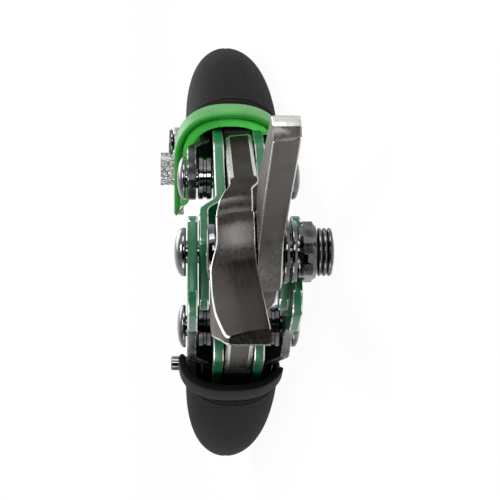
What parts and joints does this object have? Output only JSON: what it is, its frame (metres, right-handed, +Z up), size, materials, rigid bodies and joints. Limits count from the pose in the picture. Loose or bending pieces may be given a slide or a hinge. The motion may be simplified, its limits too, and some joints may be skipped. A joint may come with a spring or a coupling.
{
  "type": "compound-action bypass shears",
  "caption": "Compound-action hand shears with crossing steel jaws on a bolt, riveted handle plates, rubber grips and a thumb latch.",
  "frame": {"origin": "on the resting surface, under the middle of the tool's box, with the tool lying on its nut side", "axes": "+Y from the jaws to the handles, +X towards the upper handle with the latch, +Z up, close to the pivots' axis"},
  "size_m": [0.1094, 0.2028, 0.03],
  "materials": {
    "blade_steel": "dark oiled blade steel with ground edges",
    "black_chrome": "polished black chrome",
    "green_paint": "dark green gloss paint",
    "black_plate": "blackened steel",
    "grip_rubber": "matt black moulded rubber",
    "lime_plastic": "lime green moulded plastic",
    "core_plastic": "black filler",
    "latch_steel": "grey knurled steel"
  },
  "bodies": {
    "lower_handle": {"lower_inner_plate_left": "green_paint", "lower_inner_plate_right": "green_paint", "cheek_left": "green_paint", "cheek_right": "green_paint", "lower_spacer_left": "black_chrome", "lower_spacer_right": "black_chrome", "lower_rivet": "black_chrome", "handle_rivet": "black_chrome", "handle_sleeve": "black_chrome", "lower_grip": "grip_rubber", "lower_core": "core_plastic", "lower_grip_rim": "grip_rubber", "latch_keeper": "black_chrome"},
    "upper_handle": {"upper_inner_plate_left": "green_paint", "upper_inner_plate_right": "green_paint", "upper_outer_plate_left": "black_plate", "upper_outer_plate_right": "black_plate", "upper_spacer_left": "black_chrome", "upper_spacer_right": "black_chrome", "upper_rivet": "black_chrome", "upper_grip": "grip_rubber", "upper_core": "core_plastic", "grip_collar": "lime_plastic", "collar_liner": "lime_plastic", "latch_pin": "black_chrome"},
    "upper_jaw": {"upper_jaw": "blade_steel"},
    "lower_jaw": {"lower_jaw": "blade_steel", "main_bolt": "black_chrome", "flat_washer": "black_chrome", "spring_washer": "black_chrome", "main_nut": "black_chrome", "lock_ring": "black_chrome"},
    "latch": {"thumb_latch": "latch_steel"}
  },
  "joints": [
    {"name": "handle_hinge", "type": "hinge", "parent": "lower_handle", "child": "upper_handle", "pos_m": [0, -0.02601, 0.01599], "axis": [0, 0.0773, 0.997], "range_deg": [0, 37.9]},
    {"name": "lower_jaw_hinge", "type": "hinge", "parent": "upper_handle", "child": "lower_jaw", "pos_m": [0.0162, 0.00551, 0.01355], "axis": [0, 0.0773, 0.997], "range_deg": [-5, 0]},
    {"name": "upper_jaw_hinge", "type": "hinge", "parent": "lower_handle", "child": "upper_jaw", "pos_m": [-0.0162, 0.00551, 0.01355], "axis": [0, 0.0773, 0.997], "range_deg": [0, 5]},
    {"name": "latch_hinge", "type": "hinge", "parent": "upper_handle", "child": "latch", "pos_m": [0.02565, 0.02846, 0.01177], "axis": [0, 0.0773, 0.997], "range_deg": [-25, 0]}
  ],
  "couplings": [
    {"joint": "lower_jaw_hinge", "follows": "handle_hinge", "ratio": -0.13088},
    {"joint": "upper_jaw_hinge", "follows": "handle_hinge", "ratio": 0.13088}
  ]
}
